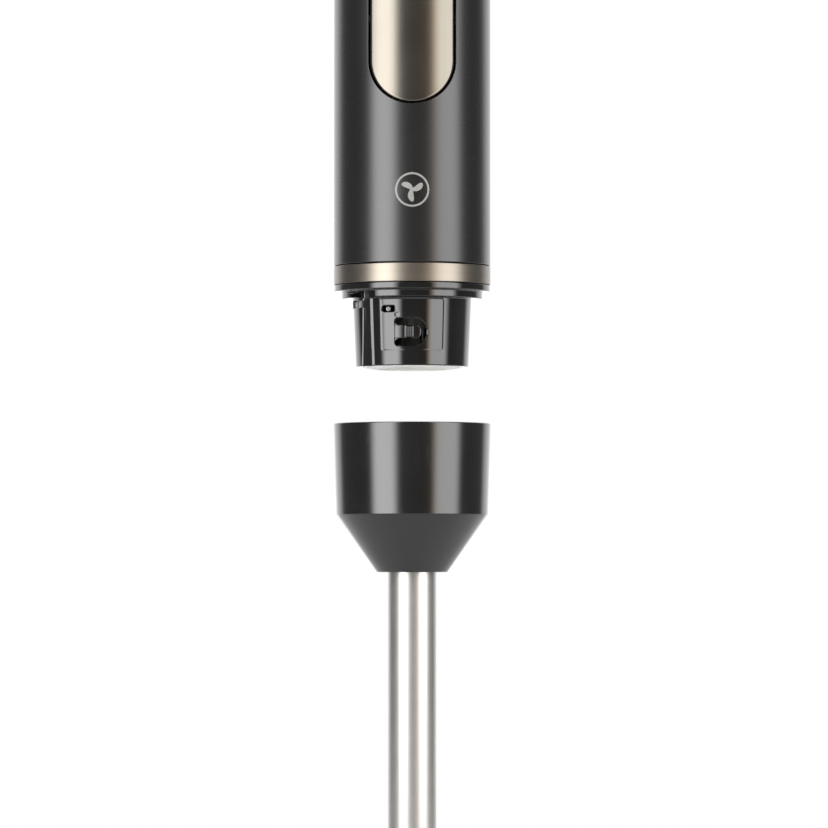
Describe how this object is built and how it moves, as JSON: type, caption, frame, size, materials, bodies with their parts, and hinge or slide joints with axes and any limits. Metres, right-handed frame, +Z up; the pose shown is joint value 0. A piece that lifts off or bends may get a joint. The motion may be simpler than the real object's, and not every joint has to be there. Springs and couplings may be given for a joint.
{
  "type": "immersion blender",
  "caption": "Hand-held stick blender: round motor handle with a long squeeze trigger, and a detached blending shaft with a cup-shaped coupler, steel tube and bladed bell.",
  "frame": {"origin": "on the common axis of handle and shaft, in the middle of the hand's grip, 101.4 mm over the seat that the shaft closes against", "axes": "+Z up along the common axis, from the blade to the cord end; the trigger faces -Y"},
  "size_m": [0.064, 0.064, 0.4611],
  "materials": {
    "graphite": "satin",
    "champagne_bronze": "satin anodised",
    "gloss_black": "gloss",
    "pale_plastic": "satin",
    "grey_plastic": "matt",
    "rubber": "matt",
    "stainless_steel": "polished",
    "spring_steel": "bright",
    "laminated_iron": "stacked sheets",
    "copper": "enamelled wire",
    "carbon": "matt",
    "circuit_board": "solder mask",
    "aluminium": "cast",
    "white_nylon": "moulded"
  },
  "bodies": {
    "handle": {"casing": "graphite", "top_cap": "graphite", "trim_ring": "champagne_bronze", "coupling_neck": "gloss_black", "neck_collar": "pale_plastic", "trigger_bracket": "grey_plastic", "brush_holder_left": "grey_plastic", "brush_holder_right": "grey_plastic", "potentiometer": "grey_plastic", "cord_gland": "rubber", "rubber_mount_left": "rubber", "rubber_mount_right": "rubber", "bearing_lower": "stainless_steel", "bearing_upper": "stainless_steel", "trigger_pivot_pin": "stainless_steel", "neck_screw_1": "stainless_steel", "neck_screw_2": "stainless_steel", "neck_screw_3": "stainless_steel", "neck_screw_4": "stainless_steel", "trigger_spring": "spring_steel", "stator_core": "laminated_iron", "field_coil_left": "copper", "field_coil_right": "copper", "carbon_brush_left": "carbon", "carbon_brush_right": "carbon", "power_switch": "carbon", "interlock_switch": "carbon", "capacitor": "carbon", "circuit_board": "circuit_board", "motor_bracket_lower": "aluminium", "motor_bracket_upper": "aluminium", "heat_sink": "aluminium"},
    "trigger": {"trigger": "champagne_bronze"},
    "speed_dial": {"speed_dial": "champagne_bronze", "dial_spindle": "stainless_steel"},
    "interlock_plunger": {"interlock_plunger": "pale_plastic"},
    "latch_tongue": {"latch_tongue": "gloss_black"},
    "armature": {"armature_shaft": "stainless_steel", "armature_core": "laminated_iron", "armature_winding_upper": "copper", "armature_winding_lower": "copper", "commutator": "copper", "cooling_fan": "white_nylon", "drive_dog": "white_nylon"},
    "seal_ring": {"seal_ring": "rubber"},
    "shaft_housing": {"shaft_cup": "gloss_black", "coupler_insert": "grey_plastic", "steel_tube": "stainless_steel", "bushing_upper": "white_nylon", "bushing_middle": "white_nylon", "bushing_lower": "copper", "bell_guard": "stainless_steel", "lip_seal": "rubber"},
    "spindle": {"drive_socket": "white_nylon", "spindle_rod": "stainless_steel", "blade_washer": "stainless_steel", "blade": "stainless_steel", "blade_nut": "stainless_steel"}
  },
  "joints": [
    {"name": "trigger_squeeze", "type": "hinge", "parent": "handle", "child": "trigger", "pos_m": [0, -0.0214, -0.019], "axis": [-1, 0, 0], "range_deg": [0, 1.6], "stiffness_Nm_per_rad": 6, "springref_deg": -0.57, "deforming": ["trigger_spring"]},
    {"name": "speed_dial_turn", "type": "hinge", "parent": "handle", "child": "speed_dial", "pos_m": [0, -0.006, 0.0903], "axis": [0, 0, -1], "range_deg": [0, 270]},
    {"name": "interlock_press", "type": "slide", "parent": "handle", "child": "interlock_plunger", "axis": [0, 1, 0], "range_m": [0, 0.0012], "stiffness_N_per_m": 200},
    {"name": "latch_flex", "type": "hinge", "parent": "handle", "child": "latch_tongue", "pos_m": [-0.0063, -0.01974, -0.1169], "axis": [0, 0, 1], "range_deg": [0, 5], "stiffness_Nm_per_rad": 0.3},
    {"name": "motor_spin", "type": "hinge", "parent": "handle", "child": "armature", "pos_m": [0, 0, -0.0454], "axis": [0, 0, 1], "continuous": true},
    {"name": "shaft_twist", "type": "hinge", "parent": "handle", "child": "seal_ring", "pos_m": [0, 0, -0.1014], "axis": [0, 0, -1], "range_deg": [0, 30]},
    {"name": "shaft_slide", "type": "slide", "parent": "seal_ring", "child": "shaft_housing", "axis": [0, 0, 1], "range_m": [0, 0.0483]},
    {"name": "spindle_spin", "type": "hinge", "parent": "shaft_housing", "child": "spindle", "pos_m": [0, 0, -0.25], "axis": [0, 0, 1], "continuous": true}
  ],
  "couplings": [
    {"joint": "spindle_spin", "follows": "motor_spin", "ratio": 1}
  ]
}
